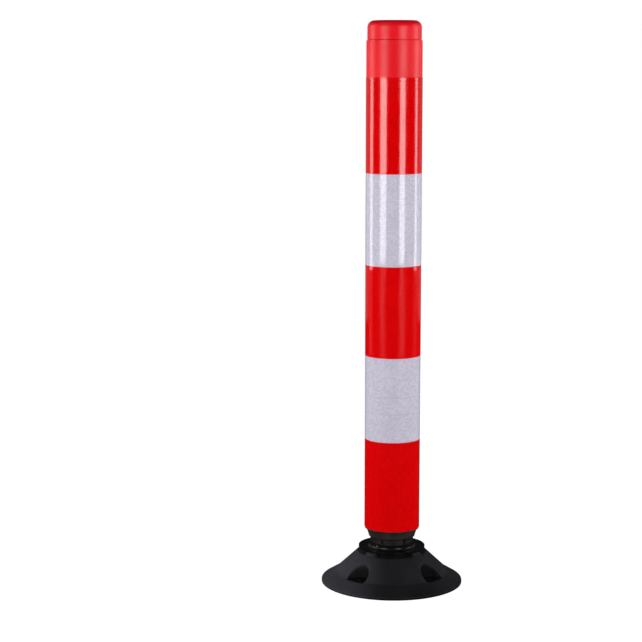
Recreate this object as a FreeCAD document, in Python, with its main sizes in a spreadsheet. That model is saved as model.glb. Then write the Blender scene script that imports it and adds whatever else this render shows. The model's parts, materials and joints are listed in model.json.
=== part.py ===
"""Self-righting delineator post on a bolt-down foot with a twist lock.

Origin: centre of the foot's underside, +Z up, millimetres. The front of the post faces -Y.
Heights in the sheet are measured from the ground, radii from the post's axis.
"""
import FreeCAD, Part
import math
import os
import Sketcher
from FreeCAD import Placement, Rotation, Vector

# alias, value, what it is
SIZES = [
    ("foot_radius", 126.3, "outer edge of the foot"),
    ("foot_edge_top", 5.0, "upright edge round the foot"),
    ("crease_radius", 100.3, "where the shallow skirt meets the steep flank"),
    ("crease_height", 20.7, ""),
    ("crown_radius", 62.0, "flat crown on top of the foot"),
    ("crown_height", 56.7, ""),
    ("lug_foot_radius", 61.4, "outer face of the four lugs, at the crown"),
    ("lug_top_radius", 56.5, "and at their tops"),
    ("lug_top", 63.3, ""),
    ("flank_hollow", 600.0, "radius of the flank's hollow curve"),
    ("foot_edge_round", 1.6, "moulded rounding of the foot's edge"),
    ("window_angle", 69.0, "gap between two lugs"),
    ("socket_radius", 47.0, "socket in the foot for the moulded-in ring"),
    ("socket_floor", 24.5, ""),
    ("bolt_circle_radius", 93.5, "four anchor bolts"),
    ("bolt_hole_radius", 6.75, ""),
    ("pocket_radius", 19.3, "upright bolt pockets cut into the flank"),
    ("pocket_floor", 19.6, ""),
    ("cavity_inner_radius", 52.0, "moulded hollows under the foot, between ribs"),
    ("cavity_outer_radius", 68.0, ""),
    ("cavity_top", 34.0, ""),
    ("cavity_angle", 35.0, ""),
    ("drain_inner_radius", 108.0, "shallow recess under the skirt"),
    ("drain_outer_radius", 119.0, ""),
    ("drain_depth", 2.0, ""),
    ("ring_outer_radius", 46.9, "bayonet ring"),
    ("ring_inner_radius", 38.2, ""),
    ("ring_bottom", 24.6, ""),
    ("ring_top", 56.4, ""),
    ("claw_radius", 33.0, "inner edge of the four claws"),
    ("claw_bottom", 46.7, ""),
    ("claw_window_angle", 48.0, "gap between two claws"),
    ("stop_radius", 34.5, "stops that end the turn"),
    ("stop_bottom", 38.0, ""),
    ("stop_angle", 3.4, ""),
    ("stop_slack", 0.6, "between a locked tongue and its stop"),
    ("washer_inner_radius", 22.0, "rubber seat washer"),
    ("washer_outer_radius", 37.0, ""),
    ("washer_top", 30.7, ""),
    ("plug_radius", 32.6, "bayonet plug under the lock plate"),
    ("plug_bottom", 31.0, ""),
    ("plug_hollow_radius", 26.0, ""),
    ("web_bottom", 52.7, "web that the lower screws clamp"),
    ("tongue_radius", 37.8, "four bayonet tongues"),
    ("tongue_bottom", 38.0, ""),
    ("tongue_top", 46.4, ""),
    ("tongue_angle", 40.0, ""),
    ("shoulder_radius", 45.0, "shoulder between crown and disc"),
    ("shoulder_bottom", 56.9, ""),
    ("disc_radius", 59.4, "lock disc"),
    ("disc_bottom", 63.6, ""),
    ("dish_height", 65.2, ""),
    ("lip_radius", 57.6, "inner edge of the raised lip"),
    ("lip_top", 66.6, ""),
    ("hub_radius", 39.3, ""),
    ("hub_round", 5.0, "moulded round between dish and hub"),
    ("hub_top", 73.6, ""),
    ("seat_radius", 33.3, "seats for the bonded steel plates"),
    ("lower_seat_floor", 67.7, ""),
    ("plate_radius", 33.0, "steel plates bonded to the neck"),
    ("lower_plate_bottom", 67.8, ""),
    ("lower_plate_top", 70.8, ""),
    ("upper_plate_bottom", 100.5, ""),
    ("upper_plate_top", 103.5, ""),
    ("screw_circle_radius", 18.0, "four screws in each plate"),
    ("screw_radius", 4.0, ""),
    ("plate_hole_radius", 4.1, ""),
    ("clear_hole_radius", 4.4, ""),
    ("screw_head_radius", 6.5, ""),
    ("screw_head_height", 8.0, ""),
    ("screw_drive_radius", 3.2, ""),
    ("screw_drive_depth", 4.0, ""),
    ("spring_washer_radius", 6.8, ""),
    ("spring_washer_height", 1.6, ""),
    ("counterbore_radius", 7.4, ""),
    ("lower_counterbore_top", 56.7, ""),
    ("neck_bottom", 73.8, "rubber above the hub"),
    ("waist_radius", 38.5, "fluted waist of the neck"),
    ("waist_top", 84.6, ""),
    ("collar_foot_radius", 41.3, "collar flaring up to the tube"),
    ("collar_top_radius", 46.0, ""),
    ("collar_top", 98.3, ""),
    ("collar_hollow", 60.0, ""),
    ("flange_radius", 48.7, "flange under the tube's end"),
    ("flange_bottom", 99.6, ""),
    ("flange_top", 101.2, ""),
    ("flute_radius", 2.3, "grooves that part the waist into panels"),
    ("flute_circle_radius", 39.3, ""),
    ("flute_bottom", 75.4, ""),
    ("tube_radius", 48.9, "outside of the tube"),
    ("tube_bore", 45.7, ""),
    ("tube_bottom", 101.4, ""),
    ("tube_top", 966.0, ""),
    ("tube_end_round", 0.4, ""),
    ("end_plug_radius", 45.5, "plug in the tube's lower end"),
    ("end_plug_seat_top", 103.6, ""),
    ("end_plug_web_top", 115.5, ""),
    ("end_plug_hollow", 37.0, ""),
    ("end_plug_top", 167.5, ""),
    ("rivet_height", 143.5, "countersunk screws holding the tube to its plug"),
    ("rivet_shank", 2.0, ""),
    ("rivet_hole", 2.1, ""),
    ("rivet_head", 4.0, ""),
    ("rivet_depth", 2.2, ""),
    ("rivet_sink", 0.2, "heads sit just below the tube's face"),
    ("rivet_ease", 0.8, "extra radius of the countersink"),
    ("rivet_tip", 39.4, ""),
    ("cap_radius", 47.3, "push-in end cap"),
    ("cap_bottom", 966.5, ""),
    ("cap_top", 1000.0, ""),
    ("cap_round", 12.0, ""),
    ("cap_lower_round", 1.0, ""),
    ("cap_recess_radius", 33.0, ""),
    ("cap_recess_floor", 999.2, ""),
    ("cap_skirt_radius", 45.2, ""),
    ("cap_skirt_bottom", 936.0, ""),
    ("cap_hollow_radius", 41.7, ""),
    ("cap_hollow_top", 991.0, ""),
    ("bead_radius", 45.6, "snap beads on the cap's skirt"),
    ("bead_height", 2.4, ""),
    ("bead_pitch", 9.0, ""),
    ("bead_start", 3.0, ""),
    ("film_bore", 48.95, "reflective film wrapped on the tube"),
    ("film_radius", 49.35, ""),
    ("film_gap", 0.3, "gap between two bands"),
    ("film_start", 102.0, ""),
    ("film_edge_one", 263.4, "edges between bands, from the bottom up"),
    ("film_edge_two", 413.9, ""),
    ("film_edge_three", 575.2, ""),
    ("film_edge_four", 736.6, ""),
    ("film_end", 902.4, ""),
    ("mark_width", 5.2, "triangular alignment mark on the hub"),
    ("mark_bottom", 69.8, ""),
    ("mark_tip", 73.2, ""),
    ("mark_back", 39.35, ""),
    ("mark_proud", 1.1, ""),
    ("cut_over", 1.0, "how far a cut or pad runs past the face it meets"),
]
BOLT_TURN = 45.0        # bolts, lugs, claws and tongues stand at 45 degrees to the front
FOURFOLD = 4
FLUTES = 6
CAVITIES = 8
CAP_BEADS = 3
AXIS = None             # stands for zero, a corner on the sketch's own axis

doc = FreeCAD.newDocument("DelineatorPost")
sheet = doc.addObject("Spreadsheet::Sheet", "Sizes")
for row, (alias, value, meaning) in enumerate(SIZES, start=1):
    sheet.set(f"A{row}", meaning)
    sheet.set(f"B{row}", str(value))
    sheet.setAlias(f"B{row}", alias)
doc.recompute()

nodes = []


def size(alias):
    """The sheet's value, which gives a sketch its first, unsolved shape."""
    return 0.0 if alias is AXIS else float(sheet.get(alias))


def new_body(name):
    body = doc.addObject("PartDesign::Body", name)
    body.Label = name
    nodes.append(body)
    return body


def origin_feature(body, role):
    """One of the body's own origin planes or axes."""
    return next(item for item in body.Origin.OriginFeatures if item.Role == role)


def new_sketch(body, name, plane, height=AXIS, turn=0.0):
    """Empty sketch on one of the body's planes, lifted along its normal and turned about it."""
    sketch = body.newObject("Sketcher::SketchObject", name)
    sketch.AttachmentSupport = [(origin_feature(body, plane), "")]
    sketch.MapMode = "FlatFace"
    sketch.AttachmentOffset = Placement(Vector(0, 0, size(height)), Rotation(Vector(0, 0, 1), turn))
    if height is not AXIS:
        sketch.setExpression("AttachmentOffset.Base.z", f"Sizes.{height}")
    return sketch


def pin_length(sketch, constraint, expression):
    """Add a length constraint and bind it to the sheet."""
    index = sketch.addConstraint(constraint)
    sketch.setExpression(f"Constraints[{index}]", expression)


def pin_corner(sketch, line, point, across, up):
    """Hold one end point at two sheet values, or on the axes."""
    if across is AXIS:
        sketch.addConstraint(Sketcher.Constraint("PointOnObject", line, point, -2))
    else:
        rule = Sketcher.Constraint("DistanceX", -1, 1, line, point, size(across))
        pin_length(sketch, rule, f"Sizes.{across}")
    if up is AXIS:
        sketch.addConstraint(Sketcher.Constraint("PointOnObject", line, point, -1))
    else:
        rule = Sketcher.Constraint("DistanceY", -1, 1, line, point, size(up))
        pin_length(sketch, rule, f"Sizes.{up}")


def hollow_arc(start, end, radius):
    """Arc from start to end that curves in to the left of the way it runs."""
    chord = end - start
    half = chord.Length / 2.0
    outward = Vector(chord.y, -chord.x, 0).normalize()
    centre = (start + end) * 0.5 + outward * math.sqrt(radius * radius - half * half)
    first = math.atan2(end.y - centre.y, end.x - centre.x)
    last = math.atan2(start.y - centre.y, start.x - centre.x)
    return Part.ArcOfCircle(Part.Circle(centre, Vector(0, 0, 1), radius), first, last)


def outline(sketch, corners, hollows=None):
    """Closed outline through corners (anticlockwise); hollows gives some runs an arc's radius."""
    hollows = hollows or {}
    points = [Vector(size(across), size(up), 0) for across, up in corners]
    starts, ends = [], []
    for run, start in enumerate(points):
        end = points[(run + 1) % len(points)]
        if run in hollows:
            sketch.addGeometry(hollow_arc(start, end, size(hollows[run])), False)
            starts.append(2)
            ends.append(1)
        else:
            sketch.addGeometry(Part.LineSegment(start, end), False)
            starts.append(1)
            ends.append(2)
    for run in range(len(points)):
        after = (run + 1) % len(points)
        sketch.addConstraint(Sketcher.Constraint("Coincident", run, ends[run], after, starts[after]))
    for run, (across, up) in enumerate(corners):
        pin_corner(sketch, run, starts[run], across, up)
    for run, alias in hollows.items():
        pin_length(sketch, Sketcher.Constraint("Radius", run, size(alias)), f"Sizes.{alias}")
    doc.recompute()


def turned(body, name, corners, hollows=None):
    """Solid of revolution about the post's axis."""
    sketch = new_sketch(body, f"{name}_outline", "XZ_Plane")
    outline(sketch, corners, hollows)
    solid = body.newObject("PartDesign::Revolution", name)
    solid.Profile = sketch
    solid.ReferenceAxis = (sketch, ["V_Axis"])
    solid.Angle = 360
    doc.recompute()
    return solid


def sector(sketch, inner, outer, angle):
    """Ring sector centred on the sketch's X axis."""
    half = math.radians(size(angle)) / 2.0
    for radius in (size(inner), size(outer)):
        circle = Part.Circle(Vector(0, 0, 0), Vector(0, 0, 1), radius)
        sketch.addGeometry(Part.ArcOfCircle(circle, -half, half), False)
    for side, end in ((half, 2), (-half, 1)):
        ray = Vector(math.cos(side), math.sin(side), 0)
        line = sketch.addGeometry(Part.LineSegment(ray * size(inner), ray * size(outer)), False)
        sketch.addConstraint(Sketcher.Constraint("Coincident", 0, end, line, 1))
        sketch.addConstraint(Sketcher.Constraint("Coincident", 1, end, line, 2))
    for arc, radius in ((0, inner), (1, outer)):
        sketch.addConstraint(Sketcher.Constraint("Coincident", arc, 3, -1, 1))
        sketch.addConstraint(Sketcher.Constraint("Symmetric", arc, 1, arc, 2, -1))
        pin_length(sketch, Sketcher.Constraint("Radius", arc, size(radius)), f"Sizes.{radius}")
    rule = Sketcher.Constraint("Angle", 1, math.radians(size(angle)))
    pin_length(sketch, rule, f"Sizes.{angle} * 1 deg")
    doc.recompute()


def spot(sketch, distance, radius):
    """Circle on the sketch's X axis."""
    circle = Part.Circle(Vector(size(distance), 0, 0), Vector(0, 0, 1), size(radius))
    sketch.addGeometry(circle, False)
    sketch.addConstraint(Sketcher.Constraint("PointOnObject", 0, 3, -1))
    rule = Sketcher.Constraint("DistanceX", -1, 1, 0, 3, size(distance))
    pin_length(sketch, rule, f"Sizes.{distance}")
    pin_length(sketch, Sketcher.Constraint("Radius", 0, size(radius)), f"Sizes.{radius}")
    doc.recompute()


def extrude(body, kind, name, sketch, length, upward=True):
    """Pad or Pocket of a bound length, upward or downward from its sketch."""
    feature = body.newObject(f"PartDesign::{kind}", name)
    feature.Profile = sketch
    feature.Type = 0
    feature.setExpression("Length", length)
    feature.Reversed = upward if kind == "Pocket" else not upward
    doc.recompute()
    return feature


def around(body, feature, count):
    """Repeat a feature evenly about the post's axis."""
    pattern = body.newObject("PartDesign::PolarPattern", f"{feature.Name}_around")
    pattern.Originals = [feature]
    pattern.Axis = (origin_feature(body, "Z_Axis"), [""])
    pattern.Angle = 360
    pattern.Occurrences = count
    body.Tip = pattern
    doc.recompute()
    return pattern


def circle_edges(shape, radius, height):
    """Names of the full-circle edges of one radius at one height."""
    names = []
    for number, edge in enumerate(shape.Edges, start=1):
        curve = edge.Curve
        if not isinstance(curve, Part.Circle) or not edge.isClosed():
            continue
        if abs(curve.Radius - radius) < 1e-3 and abs(curve.Center.z - height) < 1e-3:
            names.append(f"Edge{number}")
    return names


def rounded(body, name, base, radius, height, fillet):
    """Fillet one circular edge of a feature."""
    feature = body.newObject("PartDesign::Fillet", name)
    feature.Base = (base, circle_edges(base.Shape, size(radius), size(height)))
    feature.setExpression("Radius", f"Sizes.{fillet}")
    body.Tip = feature
    doc.recompute()
    return feature


def bored(body, name, start, radius, length, distance="screw_circle_radius"):
    """Four through holes on a circle, upward from one height."""
    sketch = new_sketch(body, f"{name}_circle", "XY_Plane", start, BOLT_TURN)
    spot(sketch, distance, radius)
    hole = extrude(body, "Pocket", name, sketch, length)
    return around(body, hole, FOURFOLD)


def make_foot():
    """Moulded rubber foot: skirt, hollow flank, crown, lugs, socket and bolt pockets."""
    body = new_body("foot")
    solid = turned(body, "foot_solid", [
        (AXIS, AXIS), ("foot_radius", AXIS), ("foot_radius", "foot_edge_top"),
        ("crease_radius", "crease_height"), ("crown_radius", "crown_height"),
        ("lug_foot_radius", "crown_height"), ("lug_top_radius", "lug_top"), (AXIS, "lug_top"),
    ], {3: "flank_hollow"})
    rounded(body, "foot_edge", solid, "foot_radius", "foot_edge_top", "foot_edge_round")

    socket = new_sketch(body, "socket_circle", "XY_Plane", "socket_floor")
    spot_on_axis(socket, "socket_radius")
    extrude(body, "Pocket", "socket", socket, "Sizes.lug_top - Sizes.socket_floor + Sizes.cut_over")

    window = new_sketch(body, "window_sector", "XY_Plane", "crown_height")
    sector(window, "ring_inner_radius", "foot_radius", "window_angle")
    cut = extrude(body, "Pocket", "window", window, "Sizes.lug_top - Sizes.crown_height + Sizes.cut_over")
    around(body, cut, FOURFOLD)

    pocket = new_sketch(body, "pocket_circle", "XY_Plane", "pocket_floor", BOLT_TURN)
    spot(pocket, "bolt_circle_radius", "pocket_radius")
    cut = extrude(body, "Pocket", "pocket", pocket, "Sizes.crown_height - Sizes.pocket_floor")
    around(body, cut, FOURFOLD)

    bored(body, "bolt_hole", AXIS, "bolt_hole_radius", "Sizes.crown_height", "bolt_circle_radius")

    cavity = new_sketch(body, "cavity_sector", "XY_Plane", AXIS, BOLT_TURN / 2.0)
    sector(cavity, "cavity_inner_radius", "cavity_outer_radius", "cavity_angle")
    cut = extrude(body, "Pocket", "cavity", cavity, "Sizes.cavity_top")
    around(body, cut, CAVITIES)

    drain = new_sketch(body, "drain_sector", "XY_Plane", AXIS, BOLT_TURN / 2.0)
    sector(drain, "drain_inner_radius", "drain_outer_radius", "cavity_angle")
    cut = extrude(body, "Pocket", "drain", drain, "Sizes.drain_depth")
    around(body, cut, CAVITIES)


def spot_on_axis(sketch, radius):
    """Circle about the sketch's origin."""
    sketch.addGeometry(Part.Circle(Vector(0, 0, 0), Vector(0, 0, 1), size(radius)), False)
    sketch.addConstraint(Sketcher.Constraint("Coincident", 0, 3, -1, 1))
    pin_length(sketch, Sketcher.Constraint("Radius", 0, size(radius)), f"Sizes.{radius}")
    doc.recompute()


def make_socket_ring():
    """Bayonet ring: a plain bore below four claws, with a stop under each claw."""
    body = new_body("socket_ring")
    turned(body, "ring_solid", [
        ("ring_inner_radius", "ring_bottom"), ("ring_outer_radius", "ring_bottom"),
        ("ring_outer_radius", "ring_top"), ("claw_radius", "ring_top"),
        ("claw_radius", "claw_bottom"), ("ring_inner_radius", "claw_bottom"),
    ])
    window = new_sketch(body, "claw_window", "XY_Plane", "claw_bottom")
    sector(window, "plug_hollow_radius", "ring_inner_radius", "claw_window_angle")
    cut = extrude(body, "Pocket", "claw_gap", window, "Sizes.ring_top - Sizes.claw_bottom + Sizes.cut_over")
    around(body, cut, FOURFOLD)

    # A stop stands beside each tongue in the locked position.
    beside = BOLT_TURN - (size("tongue_angle") + size("stop_angle")) / 2.0 - size("stop_slack")
    stop = new_sketch(body, "stop_sector", "XY_Plane", "stop_bottom", beside)
    sector(stop, "stop_radius", "ring_outer_radius", "stop_angle")
    pad = extrude(body, "Pad", "stop", stop, "Sizes.claw_bottom - Sizes.stop_bottom + Sizes.cut_over")
    around(body, pad, FOURFOLD)


def make_seat_washer():
    body = new_body("seat_washer")
    turned(body, "washer_solid", [
        ("washer_inner_radius", "ring_bottom"), ("washer_outer_radius", "ring_bottom"),
        ("washer_outer_radius", "washer_top"), ("washer_inner_radius", "washer_top"),
    ])


def make_lock_plate():
    """Dished disc with a hub above and the bayonet plug below."""
    body = new_body("lock_plate")
    solid = turned(body, "plate_solid", [
        ("plug_hollow_radius", "plug_bottom"), ("plug_radius", "plug_bottom"),
        ("plug_radius", "shoulder_bottom"), ("shoulder_radius", "shoulder_bottom"),
        ("shoulder_radius", "disc_bottom"), ("disc_radius", "disc_bottom"),
        ("disc_radius", "lip_top"), ("lip_radius", "lip_top"), ("lip_radius", "dish_height"),
        ("hub_radius", "dish_height"), ("hub_radius", "hub_top"), ("seat_radius", "hub_top"),
        ("seat_radius", "lower_seat_floor"), (AXIS, "lower_seat_floor"), (AXIS, "web_bottom"),
        ("plug_hollow_radius", "web_bottom"),
    ])
    rounded(body, "hub_foot", solid, "hub_radius", "dish_height", "hub_round")

    tongue = new_sketch(body, "tongue_sector", "XY_Plane", "tongue_bottom", BOLT_TURN)
    sector(tongue, "plug_hollow_radius", "tongue_radius", "tongue_angle")
    pad = extrude(body, "Pad", "tongue", tongue, "Sizes.tongue_top - Sizes.tongue_bottom")
    around(body, pad, FOURFOLD)

    bored(body, "screw_hole", "web_bottom", "clear_hole_radius", "Sizes.hub_top - Sizes.web_bottom")
    bored(body, "counterbore", "web_bottom", "counterbore_radius",
          "Sizes.lower_counterbore_top - Sizes.web_bottom")


def make_alignment_mark():
    """Small triangle on the hub, pointing up, over one of the lugs."""
    body = new_body("alignment_mark")
    sketch = new_sketch(body, "mark_outline", "XZ_Plane", "mark_back")
    half = size("mark_width") / 2.0
    corners = [Vector(-half, size("mark_bottom"), 0), Vector(half, size("mark_bottom"), 0),
               Vector(0, size("mark_tip"), 0)]
    for number, corner in enumerate(corners):
        sketch.addGeometry(Part.LineSegment(corner, corners[(number + 1) % 3]), False)
    for number in range(3):
        sketch.addConstraint(Sketcher.Constraint("Coincident", number, 2, (number + 1) % 3, 1))
    sketch.addConstraint(Sketcher.Constraint("Symmetric", 0, 1, 0, 2, -2))
    sketch.addConstraint(Sketcher.Constraint("PointOnObject", 2, 1, -2))
    rule = Sketcher.Constraint("DistanceX", 0, 1, 0, 2, size("mark_width"))
    pin_length(sketch, rule, "Sizes.mark_width")
    for line, alias in ((0, "mark_bottom"), (2, "mark_tip")):
        rule = Sketcher.Constraint("DistanceY", -1, 1, line, 1, size(alias))
        pin_length(sketch, rule, f"Sizes.{alias}")
    doc.recompute()
    extrude(body, "Pad", "mark", sketch, "Sizes.mark_proud")
    body.Placement = Placement(Vector(0, 0, 0), Rotation(Vector(0, 0, 1), -BOLT_TURN))


def make_steel_plate(name, bottom, top):
    body = new_body(name)
    turned(body, f"{name}_solid", [
        (AXIS, bottom), ("plate_radius", bottom), ("plate_radius", top), (AXIS, top),
    ])
    bored(body, f"{name}_hole", bottom, "plate_hole_radius", f"Sizes.{top} - Sizes.{bottom} + Sizes.cut_over")


def make_screws(name, seat, far_end, upward):
    """Four socket-head screws with their washers under the heads, as two nodes.

    seat is the face that the washers bear on and far_end the plate face that the shanks reach.
    """
    way = 1 if upward else -1
    washer_bottom = f"Sizes.{seat}" if not upward else f"Sizes.{seat} - Sizes.spring_washer_height"
    head_bottom = (f"Sizes.{seat} + Sizes.spring_washer_height" if not upward else
                   f"Sizes.{seat} - Sizes.spring_washer_height - Sizes.screw_head_height")
    drive_bottom = (f"{head_bottom} + Sizes.screw_head_height - Sizes.screw_drive_depth"
                    if not upward else head_bottom)
    shank_start = (f"Sizes.{seat} - Sizes.spring_washer_height - Sizes.cut_over" if upward else
                   f"Sizes.{far_end}")
    shank_length = (f"(Sizes.{far_end} - Sizes.{seat}) * {way}"
                    " + Sizes.spring_washer_height + Sizes.cut_over")
    screws, washers = [], []
    for number in range(FOURFOLD):
        turn = BOLT_TURN + number * 360 / FOURFOLD
        head = cylinder(f"{name}_head_{number}", "screw_head_radius",
                        "Sizes.screw_head_height", head_bottom, turn)
        shank = cylinder(f"{name}_shank_{number}", "screw_radius", shank_length, shank_start, turn)
        drive = cylinder(f"{name}_drive_{number}", "screw_drive_radius",
                         "Sizes.screw_drive_depth", drive_bottom, turn)
        whole = boolean("Fuse", f"{name}_whole_{number}", head, shank)
        screws.append(boolean("Cut", f"{name}_screw_{number}", whole, drive))
        disc = cylinder(f"{name}_disc_{number}", "spring_washer_radius",
                        "Sizes.spring_washer_height", washer_bottom, turn)
        hole = cylinder(f"{name}_eye_{number}", "plate_hole_radius",
                        "Sizes.spring_washer_height", washer_bottom, turn)
        washers.append(boolean("Cut", f"{name}_washer_{number}", disc, hole))
    group(f"{name}_screws", screws)
    group(f"{name}_washers", washers)


def cylinder(name, radius, height, bottom, turn, distance="screw_circle_radius"):
    """Upright cylinder on a circle about the post's axis."""
    solid = doc.addObject("Part::Cylinder", name)
    solid.setExpression("Radius", f"Sizes.{radius}")
    solid.setExpression("Height", height)
    solid.setExpression("Placement.Base.x", f"Sizes.{distance} * cos({turn} deg)")
    solid.setExpression("Placement.Base.y", f"Sizes.{distance} * sin({turn} deg)")
    solid.setExpression("Placement.Base.z", bottom)
    return solid


def boolean(kind, name, base, tool):
    result = doc.addObject(f"Part::{kind}", name)
    result.Base = base
    result.Tool = tool
    return result


def group(name, solids):
    """Identical fasteners kept as separate solids in one node."""
    together = doc.addObject("Part::Compound", name)
    together.Label = name
    together.Links = solids
    doc.recompute()
    nodes.append(together)


def make_flex_neck():
    """Rubber neck: spigot in the lower seat, fluted waist, and a collar flanged under the tube."""
    body = new_body("flex_neck")
    turned(body, "neck_solid", [
        (AXIS, "lower_plate_top"), ("plate_radius", "lower_plate_top"),
        ("plate_radius", "neck_bottom"), ("waist_radius", "neck_bottom"),
        ("waist_radius", "waist_top"), ("collar_foot_radius", "waist_top"),
        ("collar_top_radius", "collar_top"), ("flange_radius", "flange_bottom"),
        ("flange_radius", "flange_top"), ("seat_radius", "flange_top"),
        ("seat_radius", "upper_plate_bottom"), (AXIS, "upper_plate_bottom"),
    ], {5: "collar_hollow"})
    flute = new_sketch(body, "flute_circle", "XY_Plane", "flute_bottom")
    spot(flute, "flute_circle_radius", "flute_radius")
    cut = extrude(body, "Pocket", "flute", flute, "Sizes.waist_top - Sizes.flute_bottom")
    around(body, cut, FLUTES)
    bored(body, "lower_screw_end", "lower_plate_top", "plate_hole_radius",
          "Sizes.spring_washer_height")


def make_tube_plug():
    """Plug in the tube's lower end: seat below, clamped web, hollow above."""
    body = new_body("tube_plug")
    turned(body, "end_plug_solid", [
        ("seat_radius", "tube_bottom"), ("end_plug_radius", "tube_bottom"),
        ("end_plug_radius", "end_plug_top"), ("end_plug_hollow", "end_plug_top"),
        ("end_plug_hollow", "end_plug_web_top"), (AXIS, "end_plug_web_top"),
        (AXIS, "end_plug_seat_top"), ("seat_radius", "end_plug_seat_top"),
    ])
    bored(body, "upper_screw_hole", "end_plug_seat_top", "clear_hole_radius",
          "Sizes.end_plug_web_top - Sizes.end_plug_seat_top")
    rivet_bores(body, "plug_bore", "plate_radius")


def rivet_bores(body, name, inner):
    """Four small radial bores for the countersunk screws."""
    sketch = new_sketch(body, f"{name}_circle", "YZ_Plane", inner)
    sketch.addGeometry(Part.Circle(Vector(0, size("rivet_height"), 0), Vector(0, 0, 1),
                                   size("rivet_hole")), False)
    sketch.addConstraint(Sketcher.Constraint("PointOnObject", 0, 3, -2))
    rule = Sketcher.Constraint("DistanceY", -1, 1, 0, 3, size("rivet_height"))
    pin_length(sketch, rule, "Sizes.rivet_height")
    pin_length(sketch, Sketcher.Constraint("Radius", 0, size("rivet_hole")), "Sizes.rivet_hole")
    doc.recompute()
    hole = extrude(body, "Pocket", name, sketch, f"Sizes.film_radius - Sizes.{inner}")
    around(body, hole, FOURFOLD)


def make_plug_screws():
    """Countersunk screws through the tube's wall into its plug, heads flush with the tube."""
    screws = []
    for number in range(FOURFOLD):
        turn = number * 360 / FOURFOLD
        outward = Rotation(Vector(0, 0, 1), turn) * Rotation(Vector(0, 1, 0), 90)
        shank = doc.addObject("Part::Cylinder", f"rivet_shank_{number}")
        shank.setExpression("Radius", "Sizes.rivet_shank")
        shank.setExpression("Height", "Sizes.tube_radius - Sizes.rivet_depth - Sizes.rivet_tip")
        head = doc.addObject("Part::Cone", f"rivet_head_{number}")
        head.setExpression("Radius1", "Sizes.rivet_shank")
        head.setExpression("Radius2", "Sizes.rivet_head")
        head.setExpression("Height", "Sizes.rivet_depth")
        for solid, start in ((shank, "Sizes.rivet_tip"),
                             (head, "(Sizes.tube_radius - Sizes.rivet_depth - Sizes.rivet_sink)")):
            solid.Placement = Placement(Vector(0, 0, 0), outward)
            solid.setExpression("Placement.Base.x", f"{start} * cos({turn} deg)")
            solid.setExpression("Placement.Base.y", f"{start} * sin({turn} deg)")
            solid.setExpression("Placement.Base.z", "Sizes.rivet_height")
        screws.append(boolean("Fuse", f"rivet_{number}", shank, head))
    group("plug_screws", screws)


def make_tube():
    """Plastic tube, its lower edge rounded, countersunk for the plug screws."""
    body = new_body("tube")
    solid = turned(body, "tube_solid", [
        ("tube_bore", "tube_bottom"), ("tube_radius", "tube_bottom"),
        ("tube_radius", "tube_top"), ("tube_bore", "tube_top"),
    ])
    rounded(body, "tube_end", solid, "tube_radius", "tube_bottom", "tube_end_round")
    countersink = new_sketch(body, "countersink_outline", "XZ_Plane")
    countersink_outline(countersink)
    groove = body.newObject("PartDesign::Groove", "countersink")
    groove.Profile = countersink
    groove.ReferenceAxis = (countersink, ["Axis0"])
    groove.Angle = 360
    doc.recompute()
    around(body, groove, FOURFOLD)


def countersink_outline(sketch):
    """Half section of one countersunk hole, turned about a level line through the wall."""
    axis_height = size("rivet_height")
    inner, outer = size("end_plug_hollow"), size("film_radius")
    neck = size("tube_radius") - size("rivet_depth") - size("rivet_sink")
    corners = [Vector(inner, axis_height, 0), Vector(outer, axis_height, 0),
               Vector(outer, axis_height + size("rivet_head") + size("rivet_ease"), 0),
               Vector(neck, axis_height + size("rivet_hole"), 0),
               Vector(inner, axis_height + size("rivet_hole"), 0)]
    for number, corner in enumerate(corners):
        sketch.addGeometry(Part.LineSegment(corner, corners[(number + 1) % 5]), False)
        sketch.addConstraint(Sketcher.Constraint("Block", number))
    line = Part.LineSegment(Vector(inner, axis_height, 0), Vector(outer, axis_height, 0))
    sketch.addGeometry(line, True)
    doc.recompute()


def make_film(name, bottom, top):
    """One band of film: a thin sleeve that stops short of its neighbours."""
    outer = doc.addObject("Part::Cylinder", f"{name}_outside")
    inner = doc.addObject("Part::Cylinder", f"{name}_inside")
    for solid, radius in ((outer, "film_radius"), (inner, "film_bore")):
        solid.setExpression("Radius", f"Sizes.{radius}")
        solid.setExpression("Height", f"Sizes.{top} - Sizes.{bottom} - Sizes.film_gap")
        solid.setExpression("Placement.Base.z", f"Sizes.{bottom}")
    sleeve = boolean("Cut", name, outer, inner)
    sleeve.Label = name
    doc.recompute()
    nodes.append(sleeve)


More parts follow.
